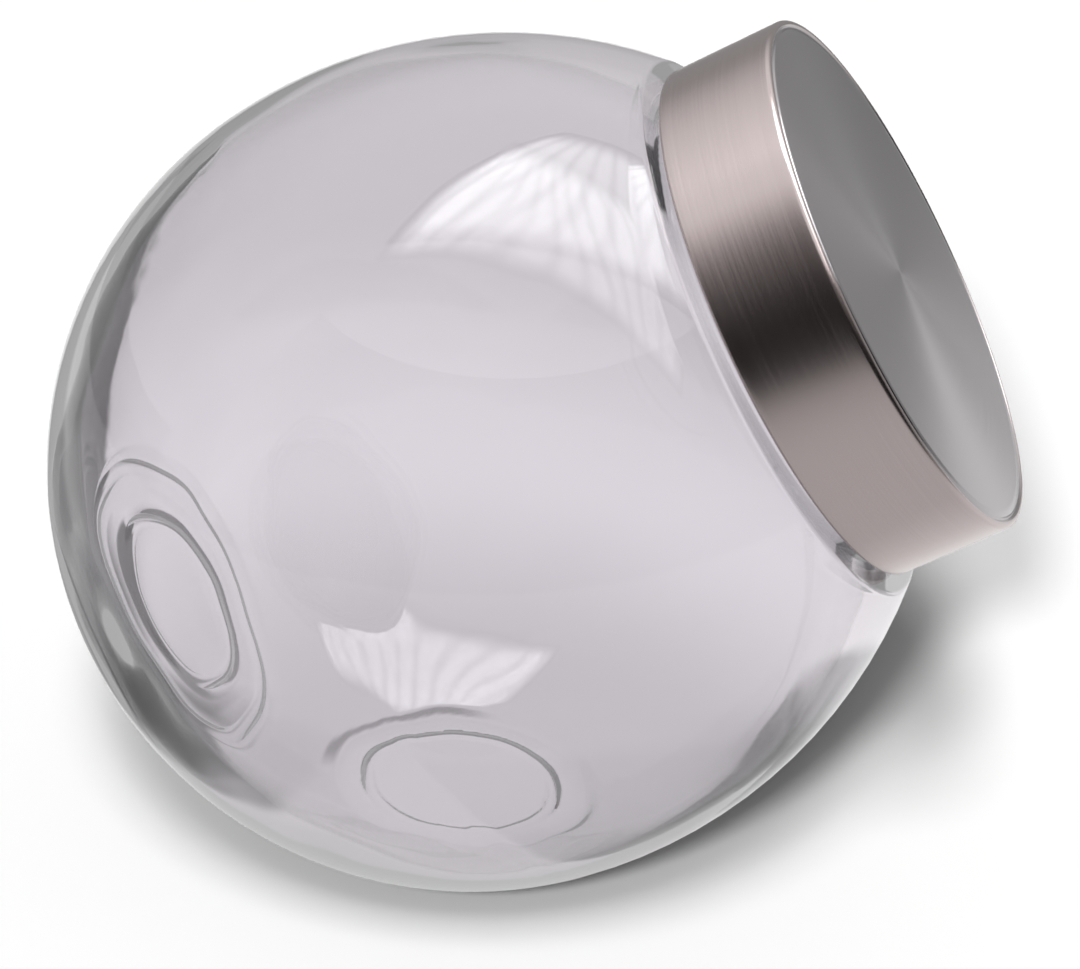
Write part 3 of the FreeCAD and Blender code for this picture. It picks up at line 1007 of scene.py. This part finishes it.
def far_lamp(name, azimuth, elevation, spread, level):
    """A lamp so far off that its light is even: azimuth, elevation and apparent size in degrees,
    and the brightness that it alone gives white paper on the floor."""
    climb = math.radians(elevation)
    side = Vector(toward(math.radians(azimuth), climb))
    light = bpy.data.lights.new(name, "SUN")
    light.angle = math.radians(spread)
    light.energy = level * math.pi / math.sin(climb)
    holder = bpy.data.objects.new(name, light)
    holder.location = side
    holder.rotation_mode = "QUATERNION"
    holder.rotation_quaternion = side.to_track_quat("Z", "Y")
    holder.visible_camera = holder.visible_glossy = holder.visible_transmission = False
    bpy.context.scene.collection.objects.link(holder)
    print("lamp", name, "at", elevation, "degrees, energy", round(light.energy, 2))


far_lamp("low", azimuth=-6.0, elevation=32.0, spread=6.0, level=0.36)
far_lamp("high", azimuth=1.0, elevation=48.0, spread=10.0, level=0.26)
far_lamp("higher", azimuth=1.0, elevation=58.0, spread=12.0, level=0.26)

# %% [markdown]
# ## Cards
# The cards are only mirrored or seen in the glass. The soft box overhead is mirrored twice:
# the outside of the ball shows it as the bright window beside the lid, and the inside of the
# back wall as the smaller one above the foot. Its cloth hangs in folds, which streak both. Its
# corners are placed so that the first of the two has the window's outline. The curtain in
# front is what gives the steel band its dark zone.

# %% Soft box
box_height = 0.5
near_left, near_right = np.array([-0.235, -0.052, box_height]), np.array([0.761, -0.182, box_height])
far_left, far_right = np.array([0.015, 0.263, box_height]), np.array([0.265, 0.235, box_height])
side, deep = np.meshgrid(np.linspace(0, 1, 121), np.linspace(0, 1, 25))
near_edge = near_left + side[..., None] * (near_right - near_left)
far_edge = far_left + side[..., None] * (far_right - far_left)
softbox = near_edge + deep[..., None] * (far_edge - near_edge)

fold_count, fold_spread, fold_dark = 12, 0.8, 0.3
fold_bend, bend_deep, bend_side = 0.3, 5, 9
bent = fold_bend * np.sin(bend_deep * deep + bend_side * side)
folds = np.sin(2 * np.pi * (fold_count * side ** fold_spread + bent))
box_glow, box_drop, drop_back = 5.8, 3.0, 0.4
softbox_glow = box_glow - box_drop * side * (1 - drop_back * deep)
softbox_glow = softbox_glow * (1 - fold_dark * eased(folds, 0.0, 1.0))
left_soft, right_soft, near_soft, far_soft = (0.0, 0.06), (0.88, 1.0), (0.0, 0.16), (0.80, 1.0)
softbox_glow *= eased(side, *left_soft) * eased(deep, *near_soft)
softbox_glow *= fading(deep, *far_soft) * fading(side, *right_soft)
glowing_sheet("softbox_card", softbox, (1, 1, 1), softbox_glow, "glossy", "transmission")

# %% Dark curtain
curtain_radius, curtain_height, curtain_colour = 0.55, 0.60, (1, 0.95, 0.95)
curtain_left, curtain_right, pale_to = math.radians(-66), math.radians(100), math.radians(-46)
curtain_dark, curtain_rise, rise_from, rise_curve, pale_glow = 0.010, 0.19, 0.10, 1.3, 0.5
curtain_turn, curtain_climb = np.meshgrid(np.linspace(curtain_left, curtain_right, 57),
                                          np.linspace(0, curtain_height, 17))
curtain = np.stack([curtain_radius * np.sin(curtain_turn),
                    -curtain_radius * np.cos(curtain_turn), curtain_climb], -1)
curtain_glow = curtain_dark + curtain_rise * eased(curtain_climb, rise_from, curtain_height) ** rise_curve
curtain_glow += pale_glow * fading(curtain_turn, curtain_left, pale_to)
glowing_sheet("dark_curtain", curtain, curtain_colour, curtain_glow, "glossy")
